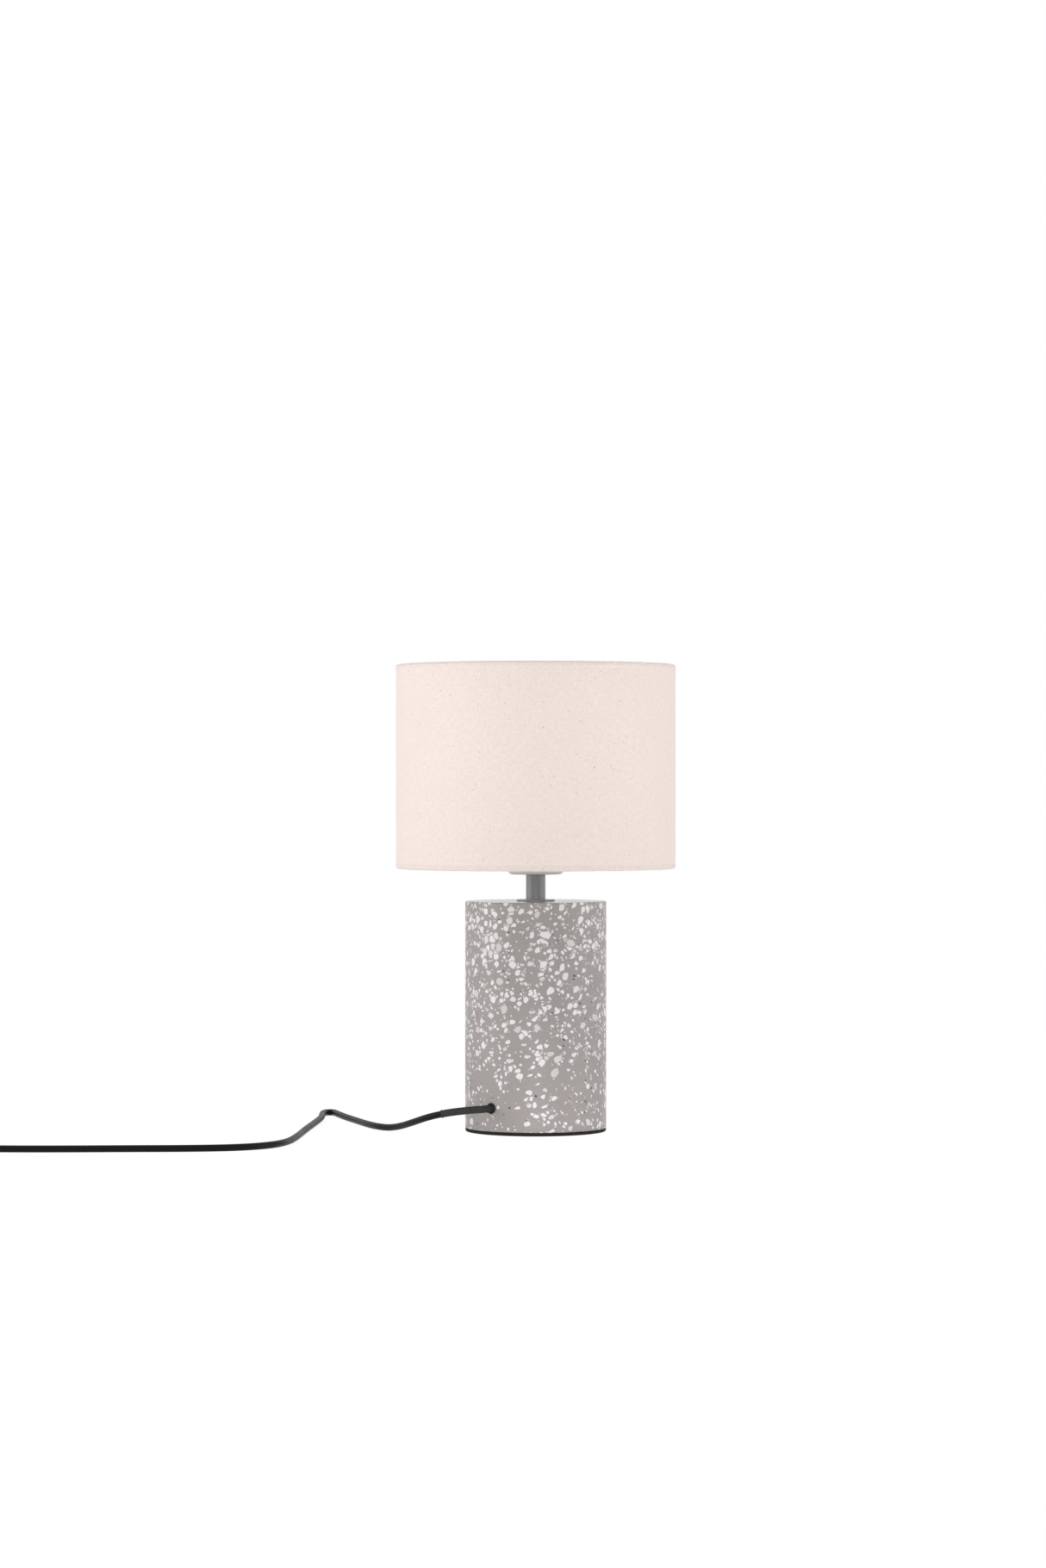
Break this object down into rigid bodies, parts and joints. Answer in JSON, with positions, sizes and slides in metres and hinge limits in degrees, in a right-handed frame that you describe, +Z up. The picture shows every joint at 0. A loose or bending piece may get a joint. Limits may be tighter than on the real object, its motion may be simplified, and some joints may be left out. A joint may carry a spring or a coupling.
{
  "type": "table lamp",
  "caption": "Table lamp with a drum fabric shade on a short stem over a terrazzo cylinder base, with screw lampholder, bulb and a mains lead with in-line switch and plug.",
  "frame": {"origin": "centre of the base pad's underside, on the table", "axes": "+Z up along the lamp's axis, -Y is the front seen in the picture, the lead leaves front left"},
  "size_m": [0.5659, 0.3134, 0.3337],
  "materials": {
    "terrazzo": "honed warm grey terrazzo with white chips",
    "pad_foam": "matt black foam",
    "black_rubber": "matt",
    "sleeve_pvc": "matt charcoal",
    "natural_nylon": "natural nylon",
    "zinc_steel": "zinc plated",
    "grey_paint": "satin grey paint",
    "holder_white": "off-white moulded plastic",
    "holder_ceramic": "unglazed ceramic",
    "brass": "bright",
    "lead_brown": "wire insulation",
    "lead_blue": "wire insulation",
    "shade_cotton": "natural woven cotton",
    "shade_film": "white laminating film",
    "white_wire": "white powder coat",
    "black_glass": "black insulator",
    "bulb_metal": "nickel plated",
    "bulb_white": "white",
    "bulb_opal": "opal diffuser",
    "cord_pvc": "satin black sheath",
    "tie_plastic": "black",
    "switch_black": "fine texture",
    "plug_pvc": "moulded",
    "plated_brass": "nickel plated"
  },
  "bodies": {
    "lamp": {"terrazzo_base": "terrazzo", "base_pad": "pad_foam", "cord_grommet": "black_rubber", "cord_sleeve": "sleeve_pvc", "cord_stop": "natural_nylon", "threaded_rod": "zinc_steel", "rod_washer": "zinc_steel", "rod_nut": "zinc_steel", "stem_flange": "grey_paint", "stem_tube": "grey_paint", "holder_cap": "holder_white", "holder_grub_screw": "zinc_steel", "holder_body": "holder_white", "holder_insert": "holder_ceramic", "holder_shell": "brass", "centre_contact": "brass", "terminal_blocks": "brass", "terminal_screws": "zinc_steel", "live_lead": "lead_brown", "neutral_lead": "lead_blue", "inner_cord": "cord_pvc", "lower_shade_ring": "holder_white", "cord": "cord_pvc", "cord_tail": "cord_pvc", "cord_coil": "cord_pvc", "cord_tie": "tie_plastic", "cord_plug_end": "cord_pvc", "switch_lower_case": "switch_black", "switch_upper_case": "switch_black", "switch_screws": "zinc_steel", "plug_body": "plug_pvc", "plug_pins": "plated_brass", "plug_pin_sleeves": "plug_pvc"},
    "shade": {"shade_fabric": "shade_cotton", "shade_liner": "shade_film", "shade_bottom_hoop": "white_wire", "shade_top_hoop": "white_wire", "shade_fitter": "white_wire", "shade_spoke_1": "white_wire", "shade_spoke_2": "white_wire", "shade_spoke_3": "white_wire"},
    "shade_ring": {"upper_shade_ring": "holder_white"},
    "bulb": {"bulb_contact": "brass", "bulb_insulator": "black_glass", "bulb_cap": "bulb_metal", "bulb_housing": "bulb_white", "bulb_globe": "bulb_opal"},
    "rocker": {"switch_rocker": "switch_black"}
  },
  "joints": [
    {"name": "shade_turn", "type": "hinge", "parent": "lamp", "child": "shade", "pos_m": [0, 0, 0.2187], "axis": [0, 0, 1], "continuous": true},
    {"name": "shade_ring_turn", "type": "hinge", "parent": "lamp", "child": "shade_ring", "pos_m": [0, 0, 0.2199], "axis": [0, 0, 1], "range_deg": [0, 3140]},
    {"name": "bulb_turn", "type": "hinge", "parent": "lamp", "child": "bulb", "pos_m": [0, 0, 0.2217], "axis": [0, 0, 1], "range_deg": [0, 1550]},
    {"name": "switch_rocker_tilt", "type": "hinge", "parent": "lamp", "child": "rocker", "pos_m": [-0.3966, -0.104, 0.0136], "axis": [1, 0, 0], "range_deg": [0, 18]}
  ]
}
